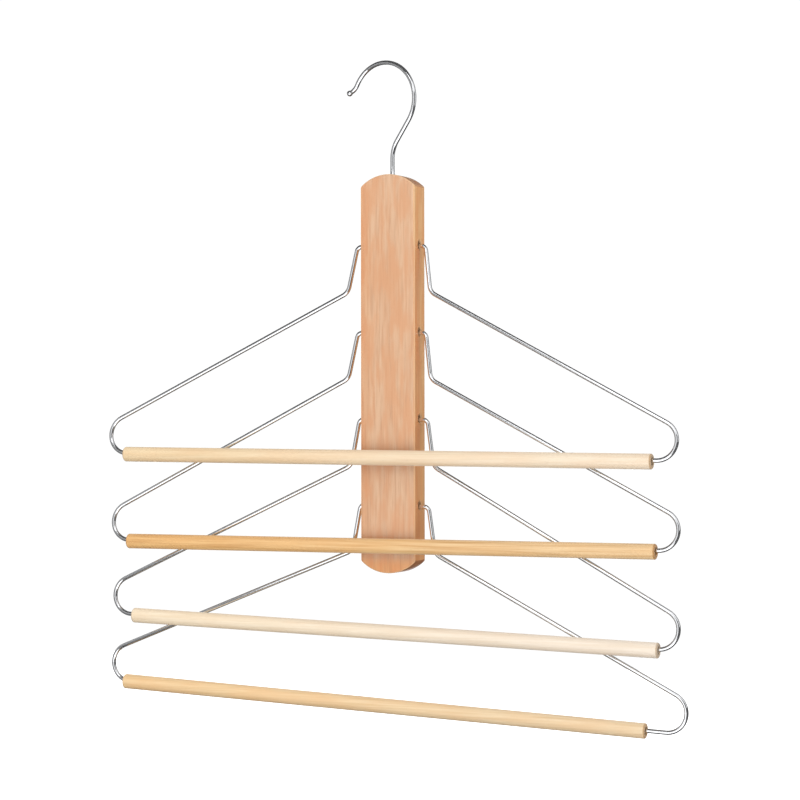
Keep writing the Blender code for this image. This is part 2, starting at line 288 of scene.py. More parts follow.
class WoodFigure:
    """The shader group that draws beech: growth rings, fibre streaks, a reddish flush and flecks."""

    NAME = "beech figure"
    COLOURS = ("Pale", "Deep", "Flush")
    SIZES = (
        "Ring Spacing", "Ring Strength", "Streak Strength", "Streak Reach",
        "Flush Scale", "Flush Strength", "Fleck Strength",
    )
    STREAK_NOISE = (900.0, 4.0)
    STREAK_SPAN = (0.35, 0.75)
    STREAK_ROUGHNESS = 0.12
    STREAK_HEIGHT = 0.35
    FLUSH_REACH = 0.2
    FLUSH_DETAIL = 3.0
    FLUSH_SPAN = (0.36, 0.68)
    STAIN = (0.12, 0.05, 0.02, 1.0)
    STAIN_SHARE = 0.5
    WAVE_NOISE = (0.22, 42.0, 2.0)
    WAVE_RINGS = 3.2
    RING_RISE = (0.25, 0.88)
    RING_FALL = (1.0, 0.9)
    FLECK_STRETCH = (1.0, 1.0, 0.11)
    FLECK_SCALE = 1500.0
    FLECK_SPAN = (0.20, 0.08)
    PATCH_NOISE = (0.3, 260.0, 1.0)
    PATCH_SPAN = (0.45, 0.62)

    def build(self) -> NodeTree:
        """Builds the group once.

        Returns:
            The group, which takes a place with the grain along Z.
        """
        made = bpy.data.node_groups.get(self.NAME)
        if made:
            return made
        inputs = dict.fromkeys(self.COLOURS, "Color") | dict.fromkeys(self.SIZES, "Float")
        outputs = {"Color": "Color", "Rough": "Float", "Height": "Float"}
        tree = new_tree(self.NAME, "ShaderNodeTree", {"Place": "Vector"} | inputs, outputs)
        canvas = NodeCanvas(tree)
        given = canvas.add("NodeGroupInput").outputs
        place = given["Place"]
        rings = self.rings(canvas, place, given["Ring Spacing"])
        streaks = self.drawn_noise(canvas, place, given["Streak Reach"], *self.STREAK_NOISE)
        drift = self.drawn_noise(canvas, place, self.FLUSH_REACH, given["Flush Scale"], self.FLUSH_DETAIL)
        ring_share = canvas.math("MULTIPLY", rings, given["Ring Strength"])
        dark = canvas.span(streaks, *self.STREAK_SPAN)
        streak_share = canvas.math("MULTIPLY", dark, given["Streak Strength"])
        deep_share = canvas.math("MAXIMUM", ring_share, streak_share)
        deep_share = canvas.math("ADD", deep_share, canvas.math("MULTIPLY", ring_share, streak_share))
        wood = canvas.mix(deep_share, given["Pale"], given["Deep"])
        flush_share = canvas.math("MULTIPLY", canvas.span(drift, *self.FLUSH_SPAN), given["Flush Strength"])
        wood = canvas.mix(flush_share, wood, given["Flush"])
        fleck_share = canvas.math("MULTIPLY", self.flecks(canvas, place), given["Fleck Strength"])
        wood = canvas.mix(fleck_share, wood, canvas.mix(self.STAIN_SHARE, given["Deep"], self.STAIN))
        rough = canvas.math("MULTIPLY_ADD", streaks, self.STREAK_ROUGHNESS, -self.STREAK_ROUGHNESS / 2)
        height = canvas.math("SUBTRACT", canvas.math("MULTIPLY", streaks, self.STREAK_HEIGHT), fleck_share)
        canvas.add("NodeGroupOutput", {"Color": wood, "Rough": rough, "Height": height})
        return tree

    def drawn_noise(self, canvas: NodeCanvas, place: Socket, along: object, *sizes: object) -> Socket:
        """Noise drawn out along the grain, its cells along times as wide as they are long."""
        stretch = canvas.add("ShaderNodeCombineXYZ", {0: 1.0, 1: 1.0, 2: along}).outputs[0]
        return canvas.noise(canvas.scaled(place, stretch), *sizes)

    def rings(self, canvas: NodeCanvas, place: Socket, spacing: Socket) -> Socket:
        """Growth rings about the grain's axis, wavy along it.

        Args:
            canvas: where to add the nodes.
            place: the place's socket.
            spacing: the distance between rings.

        Returns:
            The share of late wood, 0 to 1.
        """
        wave = self.drawn_noise(canvas, place, *self.WAVE_NOISE)
        flat = canvas.scaled(place, (1.0, 1.0, 0.0))
        reach = canvas.add("ShaderNodeVectorMath", {0: flat}, operation="LENGTH").outputs["Value"]
        turns = canvas.math("DIVIDE", reach, spacing)
        turns = canvas.math("ADD", turns, canvas.math("MULTIPLY", wave, self.WAVE_RINGS))
        across = canvas.math("FRACT", turns)
        rise = canvas.span(across, *self.RING_RISE)
        return canvas.math("MULTIPLY", rise, canvas.span(across, *self.RING_FALL))

    def flecks(self, canvas: NodeCanvas, place: Socket) -> Socket:
        """The short dark dashes of beech.

        Args:
            canvas: where to add the nodes.
            place: the place's socket.

        Returns:
            The share of fleck, 0 to 1.
        """
        inputs = {"Vector": canvas.scaled(place, self.FLECK_STRETCH), "Scale": self.FLECK_SCALE}
        cells = canvas.add("ShaderNodeTexVoronoi", inputs)
        near = canvas.span(cells.outputs["Distance"], *self.FLECK_SPAN)
        patch = self.drawn_noise(canvas, place, *self.PATCH_NOISE)
        return canvas.math("MULTIPLY", near, canvas.span(patch, *self.PATCH_SPAN))


@dataclass
class WoodFinish:
    """Turns a wood tone into a material, with the figure centred on the piece's middle."""

    BUMP_DEPTH = 0.00002
    BUMP_STRENGTH = 0.5
    LACQUER_ROUGHNESS = 0.16
    FUZZ_ROUGHNESS = 0.4

    tone: WoodTone
    centre: Vector

    def build(self) -> Material:
        """Builds the material.

        Returns:
            A Principled material with the beech figure.
        """
        made, canvas, shader = new_material(self.tone.name)
        centred = {"Vector": canvas.own_place(), "Location": -self.centre}
        place = canvas.add("ShaderNodeMapping", centred).outputs[0]
        cut = {"Vector": place, "Rotation": self.tone.grain.value, "Location": self.tone.pith}
        inputs = {"Place": canvas.add("ShaderNodeMapping", cut).outputs[0], **self.tone.figure_inputs()}
        figure = canvas.add("ShaderNodeGroup", inputs, node_tree=WoodFigure().build()).outputs
        grooves = {"Height": figure["Height"], "Distance": self.BUMP_DEPTH, "Strength": self.BUMP_STRENGTH}
        surface = {
            "Base Color": self.weather(canvas, place, figure["Color"]),
            "Roughness": canvas.math("ADD", figure["Rough"], self.tone.roughness),
            "Normal": canvas.add("ShaderNodeBump", grooves).outputs["Normal"],
            "Coat Weight": self.tone.lacquer,
            "Coat Roughness": self.LACQUER_ROUGHNESS,
            "Sheen Weight": self.tone.fuzz,
            "Sheen Roughness": self.FUZZ_ROUGHNESS,
        }
        canvas.feed(shader, surface)
        return made

    def weather(self, canvas: NodeCanvas, place: Socket, wood: Socket) -> Socket:
        """Changes the wood's colour where the piece asks for it; a plain piece keeps its own."""
        return wood


@dataclass
class BoardFinish(WoodFinish):
    """The spine's wood: golden sides, redder and darker on their front half below the first hole, an orange
    foot and left band, a painted highlight on the rims, darker end grain with painted shade at the foot.
    """

    SIDE_TINT = (1.12, 0.99, 0.66, 1.0)
    # Redder and darker on the front half of each side, below the first hole.
    FRONT_BELOW_HOLE_TINT = (1.06, 0.80, 0.49, 1.0)
    FOOT_TINT = (1.06, 0.83, 0.54, 1.0)
    BAND_TINT = (1.0, 0.90, 0.80, 1.0)
    # Darker end grain; where it is applied in full, at the foot, it is also painted shade on the underside.
    END_TINT = (0.62, 0.43, 0.26, 1.0)
    # Painted highlight: a paler colour mixed into every eased rim.
    RIM_HIGHLIGHT_COLOUR = (0.74, 0.48, 0.27, 1.0)
    RIM_HIGHLIGHT_SHARE = 0.7
    SIDE_INSETS = (0.0010, 0.0003)
    FOOT_INSETS = (0.013, 0.005)
    BAND_INSETS = (0.009, 0.003)
    HOLE_FADE = 0.003
    FRONT_FADE = 0.0015

    half_width: float
    half_height: float
    hole: float

    def weather(self, canvas: NodeCanvas, place: Socket, wood: Socket) -> Socket:
        """Tints the sides and the end grain, paints shade on the underside and a highlight on the eased rims.

        Args:
            canvas: where to add the nodes.
            place: the place from the board's middle.
            wood: the figure's colour.

        Returns:
            The colour to paint with.
        """
        x, y, z = canvas.add("ShaderNodeSeparateXYZ", {0: place}).outputs
        reach = canvas.math("ABSOLUTE", x)
        side = canvas.span(reach, *[self.half_width - inset for inset in self.SIDE_INSETS])
        # Tinted redder and darker: the front half of each side below the first hole.
        low = canvas.span(z, self.hole + self.HOLE_FADE, self.hole - self.HOLE_FADE)
        front_below_hole = canvas.math("MULTIPLY", low, canvas.span(y, self.FRONT_FADE, -self.FRONT_FADE))
        foot = canvas.span(z, *[inset - self.half_height for inset in self.FOOT_INSETS])
        band = canvas.span(x, *[inset - self.half_width for inset in self.BAND_INSETS])
        face = canvas.mix(foot, canvas.mix(band, WHITE, self.BAND_TINT), self.FOOT_TINT)
        tint = canvas.mix(side, face, canvas.mix(front_below_hole, self.SIDE_TINT, self.FRONT_BELOW_HOLE_TINT))
        # Darker end grain, which at the foot is also painted shade on the underside.
        tint = canvas.mix(canvas.attribute("end_grain_and_shade"), tint, self.END_TINT)
        tinted = canvas.mix(1.0, wood, tint, "MULTIPLY")
        # Painted highlight on the eased rims.
        rims = canvas.math("MULTIPLY", canvas.attribute("rim"), self.RIM_HIGHLIGHT_SHARE)
        return canvas.mix(rims, tinted, self.RIM_HIGHLIGHT_COLOUR)


@dataclass
class DowelFinish(WoodFinish):
    """A bar's wood: a little paler towards its right end, with darker end grain."""

    END_TINT = (0.65, 0.60, 0.57, 1.0)
    END_INSETS = (0.0012, 0.0006)

    half_length: float

    def weather(self, canvas: NodeCanvas, place: Socket, wood: Socket) -> Socket:
        """Pales the wood towards the right and darkens both end faces.

        Args:
            canvas: where to add the nodes.
            place: the place from the bar's middle.
            wood: the figure's colour.

        Returns:
            The colour to paint with.
        """
        x = canvas.add("ShaderNodeSeparateXYZ", {0: place}).outputs[0]
        right = canvas.span(x, -self.half_length, self.half_length)
        tint = canvas.mix(right, WHITE, (*self.tone.right_end_tint, 1.0))
        reach = canvas.math("ABSOLUTE", x)
        ends = canvas.span(reach, *[self.half_length - inset for inset in self.END_INSETS])
        return canvas.mix(1.0, wood, canvas.mix(ends, tint, self.END_TINT), "MULTIPLY")


@dataclass(frozen=True)
class ChromeFinish:
    """Bright chrome plate with faint rub marks."""

    name: str = "chrome_wire"
    colour: Colour = (0.86, 0.87, 0.89)
    dull: Colour = (0.72, 0.73, 0.75)
    dull_share: float = 0.5
    roughness: float = 0.07
    rub_roughness: float = 0.08
    rub_scale: float = 420.0
    rub_detail: float = 3.0
    rub_span: tuple[float, float] = (0.5, 0.72)

    def build(self) -> Material:
        """Builds the material.

        Returns:
            A metallic Principled material.
        """
        made, canvas, shader = new_material(self.name)
        cloud = canvas.noise(canvas.own_place(), self.rub_scale, self.rub_detail)
        worn = canvas.span(cloud, *self.rub_span)
        share = canvas.math("MULTIPLY", worn, self.dull_share)
        colour = canvas.mix(share, (*self.colour, 1.0), (*self.dull, 1.0))
        rough = canvas.math("MULTIPLY_ADD", worn, self.rub_roughness, self.roughness)
        canvas.feed(shader, {"Base Color": colour, "Roughness": rough, "Metallic": 1.0})
        return made


@dataclass(frozen=True)
class NylonFinish:
    """Natural nylon, slightly mottled."""

    name: str = "bush_nylon"
    colour: Colour = (0.78, 0.75, 0.66)
    shade: Colour = (0.62, 0.58, 0.48)
    roughness: float = 0.45
    mottle_scale: float = 500.0
    mottle_detail: float = 2.0
    bump_depth: float = 0.00005

    def build(self) -> Material:
        """Builds the material.

        Returns:
            A Principled material for moulded plastic.
        """
        made, canvas, shader = new_material(self.name)
        cloud = canvas.noise(canvas.own_place(), self.mottle_scale, self.mottle_detail)
        colour = canvas.mix(cloud, (*self.colour, 1.0), (*self.shade, 1.0))
        bump = canvas.add("ShaderNodeBump", {"Height": cloud, "Distance": self.bump_depth}).outputs["Normal"]
        canvas.feed(shader, {"Base Color": colour, "Normal": bump, "Roughness": self.roughness})
        return made


class BentWireTree:
    """The Geometry Nodes tree that rounds the corners of a path and draws a wire along it."""

    NAME = "bent wire"
    STEPS = {"Sides": 24, "Bend Steps": 20}

    def build(self) -> NodeTree:
        """Builds the tree once.

        Returns:
            The tree, with its sizes as named inputs.
        """
        made = bpy.data.node_groups.get(self.NAME)
        if made:
            return made
        wire = {"Geometry": "Geometry"}
        inputs = wire | {"Wire Radius": "Float", "Sides": "Int", "Bend Steps": "Int", "Finish": "Material"}
        tree = new_tree(self.NAME, "GeometryNodeTree", inputs, wire)
        canvas = NodeCanvas(tree)
        given = canvas.add("NodeGroupInput").outputs
        path = canvas.add("GeometryNodeMeshToCurve", {"Mesh": given["Geometry"]}).outputs[0]
        radius = self.attribute(canvas, "bend_radius")
        corners = {"Curve": path, "Radius": radius, "Count": given["Bend Steps"]}
        rounded = canvas.add("GeometryNodeFilletCurve", corners, mode="POLY").outputs[0]
        ring = {"Resolution": given["Sides"], "Radius": given["Wire Radius"]}
        swept = {
            "Curve": rounded,
            "Profile Curve": canvas.add("GeometryNodeCurvePrimitiveCircle", ring).outputs[0],
            "Scale": self.attribute(canvas, "thickness"),
            "Fill Caps": True,
        }
        drawn = canvas.add("GeometryNodeCurveToMesh", swept).outputs[0]
        shaded = canvas.add("GeometryNodeSetShadeSmooth", {"Geometry": drawn}).outputs[0]
        real = canvas.add("GeometryNodeRealizeInstances", {"Geometry": shaded}).outputs[0]
        dressed = canvas.add("GeometryNodeSetMaterial", {"Geometry": real, "Material": given["Finish"]})
        canvas.add("NodeGroupOutput", {"Geometry": dressed.outputs[0]})
        return tree

    def attribute(self, canvas: NodeCanvas, name: str) -> Socket:
        """Reads one of the path's attributes."""
        node = canvas.add("GeometryNodeInputNamedAttribute", {"Name": name}, data_type="FLOAT")
        return node.outputs["Attribute"]

    def draw(
        self, name: str, bends: list[Bend], plane: Matrix, wire_radius: float, finish: Material
    ) -> Object:
        """Draws one wire.

        Args:
            name: the piece's name.
            bends: the corners of its path.
            plane: what takes the plane that the path lies in to the frame.
            wire_radius: the wire's radius.
            finish: its material.

        Returns:
            The wire as a plain mesh object at the origin.
        """
        path = bpy.data.meshes.new(name + "_path")
        places = [plane @ Vector((bend.across, 0.0, bend.up)) for bend in bends]
        path.from_pydata(places, [(index, index + 1) for index in range(len(places) - 1)], [])
        radii = path.attributes.new("bend_radius", "FLOAT", "POINT")
        radii.data.foreach_set("value", [bend.radius for bend in bends])
        thickness = path.attributes.new("thickness", "FLOAT", "POINT")
        thickness.data.foreach_set("value", [bend.thickness for bend in bends])
        holder = add_object(name + "_path", path)
        modifier = holder.modifiers.new(self.NAME, "NODES")
        modifier.node_group = self.build()
        sizes = {"Wire Radius": wire_radius, "Finish": finish, **self.STEPS}
        for item in modifier.node_group.interface.items_tree:
            if item.in_out == "INPUT" and item.name in sizes:
                modifier[item.identifier] = sizes[item.name]
        return add_object(name, settle(name, holder))


@dataclass
class Hook:
    """The hook: one bent wire with a headed shank, a round crook and a ball end."""

    wire_radius: float = 0.00147
    shank_depth: float = 0.0253
    shank_rise: float = 0.0108
    neck_bend: float = 0.0196
    slant: float = math.radians(35.8)
    crook_radius: float = 0.0245
    crook_offset: float = 0.0070
    crook_end: float = math.radians(152.4)
    crook_steps: int = 90
    curl_radius: float = 0.0098
    curl_turn: float = math.radians(40.3)
    curl_steps: int = 16
    ball_radius: float = 0.00196
    ball_flat: float = 0.06
    ball_steps: int = 16
    head_radius: float = 0.0027
    head_taper: float = 0.0005
    head_thickness: float = 0.002

    def ball(self, end: Vector, onward: Vector) -> list[Bend]:
        """The ball, whose far side ends ball_flat radians from its pole.

        Args:
            end: where the wire runs into it.
            onward: the way the wire runs there.

        Returns:
            Close points with the ball's thickness at each.
        """
        joint_angle = math.acos(self.wire_radius / self.ball_radius)
        centre = end + onward * self.ball_radius * math.sin(joint_angle)
        bends = []
        for step in range(1, self.ball_steps + 1):
            turned = (math.pi / 2 - self.ball_flat + joint_angle) * step / self.ball_steps
            latitude = -joint_angle + turned
            point = centre + onward * self.ball_radius * math.sin(latitude)
            thickness = self.ball_radius * math.cos(latitude) / self.wire_radius
            bends.append(Bend(point.x, point.y, thickness=thickness))
        return bends

    def bends(self) -> list[Bend]:
        """The hook's path from the head of its shank to its ball.

        Returns:
            The corners, with the crook and curl as close points.
        """
        neck_rise = self.shank_rise + self.neck_bend * math.tan(self.slant / 2)
        start_reach = self.crook_radius * math.cos(self.slant) - self.crook_offset
        crook_rise = neck_rise + start_reach / math.tan(self.slant) + self.crook_radius * math.sin(self.slant)
        head = self.head_radius / self.wire_radius
        chamfer = (self.head_radius - self.head_taper) / self.wire_radius
        head_top = self.head_thickness - self.shank_depth
        shank = [
            Bend(0.0, -self.shank_depth, thickness=chamfer),
            Bend(0.0, self.head_taper - self.shank_depth, thickness=head),
            Bend(0.0, head_top - self.head_taper, thickness=head),
            Bend(0.0, head_top),
            Bend(0.0, neck_rise, self.neck_bend),
        ]
        middle = Vector((-self.crook_offset, crook_rise))
        crook = arc(middle, self.crook_radius, -self.slant, self.crook_end, self.crook_steps)
        curl_start = self.crook_end - math.pi
        curl_end = curl_start - self.curl_turn
        curl_centre = crook[-1] + self.curl_radius * heading(self.crook_end)
        curl = arc(curl_centre, self.curl_radius, curl_start, curl_end, self.curl_steps)
        round_part = [Bend(point.x, point.y) for point in crook + curl[1:]]
        return shank + round_part + self.ball(curl[-1], (curl[-1] - curl[-2]).normalized())

    def build(self, finish: Material) -> Object:
        """Draws the hook where the frame has it.

        Args:
            finish: the wire's material.

        Returns:
            The hook's object.
        """
        swivel, _ = joint("hook_swivel")
        plane = wire_plane(swivel, Vector((swivel.x, swivel.y, 0.0)).normalized(), UP)
        hook = BentWireTree().draw("hook_wire", self.bends(), plane, self.wire_radius, finish)
        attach(hook, "hook")
        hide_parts("hook")
        return hook


@dataclass
class ArmWire:
    """One arm's wire, bent in one plane and turned in at both ends."""

    number: int
    slide: float
    left_spread: float
    right_spread: float
    wire_radius: float = 0.00142
    neck_reach: float = 0.0240
    neck_drop: float = 0.0303
    neck_splay: float = math.radians(9.4)
    neck_bend: float = 0.00375
    shoulder_bend: float = 0.008
    end_bend: float = 0.0126
    end_reach: float = 0.1853
    tip_drop: float = 0.1386
    tip_length: float = 0.035

    def plane(self) -> Matrix:
        """The plane that the arm lies in, from its two joints.

        Returns:
            What takes it to the frame, with its origin on the pivot and slid with the wire.
        """
        pivot, axis = joint(f"arm_{self.number}_swing")
        bar, _ = joint(f"bar_{self.number}_roll")
        right = -axis
        to_bar = bar - pivot
        down = (to_bar - right * to_bar.dot(right)).normalized()
        return wire_plane(pivot + right * self.slide, right, -down)

    def shoulder(self) -> Vector:
        """The corner where the neck meets the sloping leg, outward and up from the pivot."""
        return Vector((self.neck_reach + self.neck_drop * math.tan(self.neck_splay), -self.neck_drop))

    def end_centre(self, spread: float) -> Vector:
        """The centre of a leg's end bend, outward and up from the pivot.

        Args:
            spread: how far the leg has sprung open, in degrees.

        Returns:
            The centre.
        """
        shoulder = self.shoulder()
        centre = Vector((self.end_reach, self.end_bend - self.tip_drop)) - shoulder
        centre.rotate(Matrix.Rotation(math.radians(spread), 2))
        return shoulder + centre

    def leg(self, spread: float, inward: Vector) -> list[Bend]:
        """One leg's corners, outward and up from the pivot.

        Args:
            spread: how far the leg has sprung open, in degrees.
            inward: the direction of the bar's axis towards the middle.

        Returns:
            The neck, the shoulder, the end bend's corner and the tip.
        """
        shoulder = self.shoulder()
        centre = self.end_centre(spread)
        away = centre - shoulder
        slope = math.atan2(-away.y, away.x) - math.asin(self.end_bend / away.length)
        start = math.pi / 2 - slope
        end = math.atan2(inward.x, -inward.y)
        first = centre + self.end_bend * heading(start)
        last = centre + self.end_bend * heading(end)
        corner = first + heading(-slope) * self.end_bend * math.tan((start - end) / 2)
        tip = last + inward * self.tip_length
        return [
            Bend(self.neck_reach, 0.0, self.neck_bend),
            Bend(shoulder.x, shoulder.y, self.shoulder_bend),
            Bend(corner.x, corner.y, self.end_bend),
            Bend(tip.x, tip.y),
        ]

    def bends(self) -> list[Bend]:
        """The wire's path.

        Returns:
            The corners from its left tip to its right.
        """
        left_centre = self.end_centre(self.left_spread)
        left_centre.x = -left_centre.x
        along = (self.end_centre(self.right_spread) - left_centre).normalized()
        right = self.leg(self.right_spread, -along)
        left = self.leg(self.left_spread, Vector((-along.x, along.y)))
        return [Bend(-bend.across, bend.up, bend.radius) for bend in reversed(left)] + right

    def build(self, finish: Material) -> Object:
        """Draws the arm where the frame has it.

        Args:
            finish: the wire's material.

        Returns:
            The arm's object.
        """
        name = f"bent_arm_{self.number}"
        arm = BentWireTree().draw(name, self.bends(), self.plane(), self.wire_radius, finish)
        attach(arm, f"arm_{self.number}")
        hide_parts(f"arm_wire_{self.number}")
        return arm


def turned_mesh(name: str, outline: list[Vector], sides: int, closed: bool = False) -> Mesh:
    """Turns an outline about the X axis.

    Args:
        name: the mesh's name.
        outline: points as (along, radius); radius 0 closes an end.
        sides: how many sides the turned shape has.
        closed: whether the last point joins the first.

    Returns:
        A closed mesh with outward faces.
    """
    bm = bmesh.new()
    rings = []
    for point in outline:
        count = sides if point.y > 0 else 1
        angles = [2 * math.pi * side / count for side in range(count)]
        places = [(point.x, point.y * math.cos(angle), point.y * math.sin(angle)) for angle in angles]
        rings.append([bm.verts.new(place) for place in places])
    following = rings[1:] + rings[:1] if closed else rings[1:]
    for ring, after in zip(rings, following):
        for side in range(max(len(ring), len(after))):
            corners = [
                ring[side % len(ring)],
                ring[(side + 1) % len(ring)],
                after[(side + 1) % len(after)],
                after[side % len(after)],
            ]
            bm.faces.new(dict.fromkeys(corners))
    bmesh.ops.recalc_face_normals(bm, faces=bm.faces)
    mesh = bpy.data.meshes.new(name)
    bm.to_mesh(mesh)
    bm.free()
    smooth(mesh)
    return mesh


@dataclass
class Bar:
    """One dowel, with rounded ends and a drilled bore in each."""

    number: int
    tone: WoodTone
    length: float = 0.370
    radius: float = 0.00496
    edge: float = 0.0010
    edge_steps: int = 7
    bore_radius: float = 0.0025
    bore_depth: float = 0.040
    bore_mouth: float = 0.0004
    mouth_steps: int = 4
    drill_angle: float = math.radians(31)
    sides: int = 64
    spans: int = 16

    def profile(self) -> list[Vector]:
        """Half of the turned outline.

        Returns:
            The points as (along, radius), from the bottom of the left bore to near the middle.
        """
        end = -self.length / 2
        rounding = Vector((end + self.edge, self.radius - self.edge))
        edge = arc(rounding, self.edge, math.pi, math.pi / 2, self.edge_steps)
        straight = edge[-1].x
        along = [Vector((straight * (1 - step / self.spans), self.radius)) for step in range(1, self.spans)]
        lip = Vector((end + self.bore_mouth, self.bore_radius + self.bore_mouth))
        mouth = arc(lip, self.bore_mouth, -math.pi / 2, -math.pi, self.mouth_steps)
        bottom = end + self.bore_depth
        drill_point = self.bore_radius * math.tan(self.drill_angle)
        bore = [Vector((bottom, 0.0)), Vector((bottom - drill_point, self.bore_radius))]
        return bore + mouth + edge + along

    def build(self) -> Object:
        """Turns the bar where the frame has it.

        Returns:
            The bar's object.
        """
        centre, along = joint(f"bar_{self.number}_roll")
        side = Vector((0.0, 1.0, 0.0))
        turn = Matrix((along, side, along.cross(side).normalized())).transposed().to_4x4()
        half = self.profile()
        outline = half + [Vector((-point.x, point.y)) for point in reversed(half)]
        mesh = turned_mesh(f"dowel_{self.number}", outline, self.sides)
        mesh.transform(Matrix.Translation(centre) @ turn)
        mesh.materials.append(DowelFinish(self.tone, centre, self.length / 2).build())
        bar = add_object(mesh.name, mesh)
        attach(bar, f"bar_{self.number}")
        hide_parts(f"bar_{self.number}")
        return bar


@dataclass
class Spine:
    """The upright board, with arched ends, eased edges, cross holes and the swivel's bore."""

    FLAT = 0.1
    TOP_SHARE = 0.5
    ROUND = 0.5

    tone: WoodTone
    width: float = 0.038
    thickness: float = 0.018
    height: float = 0.259
    rise: float = 0.0078
    crown_steps: int = 48
    corner: float = 0.002
    corner_steps: int = 10
    edge: float = 0.0010
    edge_steps: int = 6
    first_hole: float = 0.0458
    last_hole_rise: float = 0.0441
    hole_radius: float = 0.0027
    hole_flare: float = 0.0006
    bore_radius: float = 0.0035
    bore_depth: float = 0.0273
    overrun: float = 0.002
    tiers: int = 4

    def arched_end(self) -> list[Vector]:
        """The outline at one end, from side to side, apex at zero.

        Returns:
            The points.
        """
        half = self.width / 2
        radius = (half**2 + self.rise**2) / (2 * self.rise)
        reach = half - self.corner
        centre = Vector((0.0, -radius))
        corner_centre = centre + Vector((reach, math.sqrt((radius - self.corner) ** 2 - reach**2)))
        meeting = math.atan2(corner_centre.y - centre.y, reach)
        right = arc(corner_centre, self.corner, 0.0, meeting, self.corner_steps)
        crown = arc(centre, radius, meeting, math.pi - meeting, self.crown_steps)
        left = [Vector((-point.x, point.y)) for point in reversed(right)]
        return right + crown[1:-1] + left

    def board(self) -> Mesh:
        """The board without its holes, its top at the origin.

        Returns:
            The mesh.
        """
        outline = self.arched_end()
        outline += [Vector((-point.x, -self.height - point.y)) for point in outline]
        bm = bmesh.new()
        front = [bm.verts.new((point.x, -self.thickness / 2, point.y)) for point in outline]
        swept = bmesh.ops.extrude_face_region(bm, geom=[bm.faces.new(front)])["geom"]
        back = [item for item in swept if isinstance(item, bmesh.types.BMVert)]
        bmesh.ops.translate(bm, verts=back, vec=(0.0, self.thickness, 0.0))
        rims = [edge for edge in bm.edges if edge.verts[0].co.y == edge.verts[1].co.y]
        bmesh.ops.bevel(
            bm, geom=rims, offset=self.edge, segments=self.edge_steps, affect="EDGES", profile=self.ROUND
        )
        bmesh.ops.recalc_face_normals(bm, faces=bm.faces)
        mesh = bpy.data.meshes.new("board")
        bm.to_mesh(mesh)
        bm.free()
        return mesh

    def cutters(self) -> list[Object]:
        """The shapes that the holes are cut with, the spine's top at the origin.

        Returns:
            Their objects: the cross holes from the top down, then the swivel's bore.
        """
        half = self.width / 2
        end = half + self.overrun
        flared = self.hole_radius + self.hole_flare + self.overrun
        throat = half - self.hole_flare
        hole = [(-end, 0.0), (-end, flared), (-throat, self.hole_radius)]
        hole += [(-along, radius) for along, radius in reversed(hole)]
        bore = [
            (-self.bore_depth, 0.0),
            (-self.bore_depth, self.bore_radius),
            (self.overrun, self.bore_radius),
            (self.overrun, 0.0),
        ]
        pitch = (self.height - self.first_hole - self.last_hole_rise) / (self.tiers - 1)
        shapes = []
        for tier in range(self.tiers):
            place = Matrix.Translation((0.0, 0.0, -self.first_hole - tier * pitch))
            shapes.append((f"hole_cutter_{tier}", hole, place))
        shapes.append(("bore_cutter", bore, UPRIGHT))
        made = []
        for name, outline, place in shapes:
            mesh = turned_mesh(name, [Vector(point) for point in outline], BORE_SIDES)
            mesh.transform(place)
            made.append(add_object(name, mesh))
        return made

    def end_grain_and_shade_share(self, normal: Vector) -> float:
        """How much of the end grain's darker tint a face takes: all at the foot, where it is also painted
        shade on the underside, less at the top, else none.
        """
        share = 1.0 if normal.z < 0 else self.TOP_SHARE
        return share if abs(normal.y) <= self.FLAT <= abs(normal.z) else 0.0

    def mark(self, mesh: Mesh) -> None:
        """Writes down which faces are eased rims, for the painted highlight, and which are end grain, for its
        darker tint and the painted shade at the foot.

        Args:
            mesh: the finished board.
        """
        normals = [face.normal for face in mesh.polygons]
        # The eased rims, which get the painted highlight.
        rims = [1.0 if self.FLAT < abs(normal.y) < 1.0 - self.FLAT else 0.0 for normal in normals]
        # End grain faces, which get the darker tint, and at the foot also painted shade.
        ends = [self.end_grain_and_shade_share(normal) for normal in normals]
        for name, values in (("rim", rims), ("end_grain_and_shade", ends)):
            mesh.attributes.new(name, "FLOAT", "FACE").data.foreach_set("value", values)

    def build(self) -> Object:
        """Makes the spine where the frame has it.

        Returns:
            The spine's object.
        """
        board = add_object("board", self.board())
        cutters = self.cutters()
        for cutter in cutters:
            boolean = board.modifiers.new(cutter.name, "BOOLEAN")
            boolean.operation = "DIFFERENCE"
            boolean.solver = "EXACT"
            boolean.object = cutter
        mesh = settle("beech_spine", board, *cutters)
        top, _ = joint("hook_swivel")
        mesh.transform(Matrix.Translation(top))
        smooth(mesh)
        self.mark(mesh)
        centre = top - UP * self.height / 2
        hole = self.height / 2 - self.first_hole
        finish = BoardFinish(self.tone, centre, self.width / 2, self.height / 2, hole)
        mesh.materials.append(finish.build())
        spine = add_object("beech_spine", mesh)
        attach(spine, "spine")
        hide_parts("spine")
        return spine


